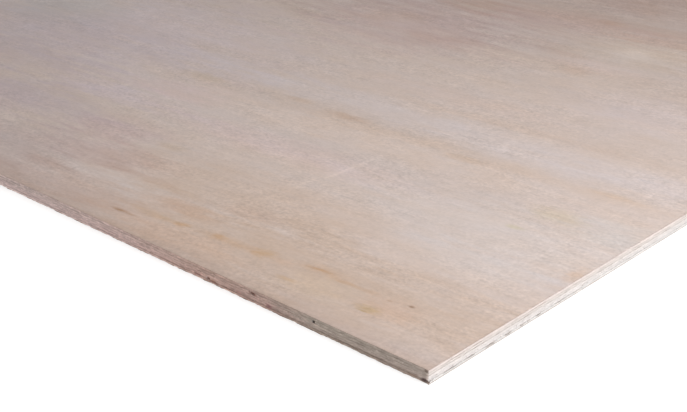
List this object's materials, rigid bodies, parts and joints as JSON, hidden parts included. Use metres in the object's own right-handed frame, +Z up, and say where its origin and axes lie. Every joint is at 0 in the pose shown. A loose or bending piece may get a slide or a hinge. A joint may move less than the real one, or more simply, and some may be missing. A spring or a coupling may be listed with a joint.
{
  "type": "plywood sheet",
  "caption": "Flat rectangular sheet of plywood: thin face and back veneers over cross-laminated inner plies, square trimmed edges that show the layers and a few core gaps.",
  "frame": {"origin": "middle of the underside, at the level of the surface the sheet lies on", "axes": "+X along the length and the grain of the faces, +Y across the sheet, +Z up through the thickness, out of the face"},
  "size_m": [2.44, 1.22, 0.012],
  "materials": {
    "face_wood": "sanded, unfinished, pale pinkish beige",
    "crossband_wood": "sawn, dull end grain along the long edges",
    "core_wood": "sawn, paler long grain along the long edges",
    "back_wood": "sanded, unfinished, a little browner than the face"
  },
  "bodies": {
    "root": {"face_veneer": "face_wood", "crossband_top": "crossband_wood", "core_top": "core_wood", "crossband_centre": "crossband_wood", "core_bottom": "core_wood", "crossband_bottom": "crossband_wood", "back_veneer": "back_wood"}
  },
  "joints": []
}
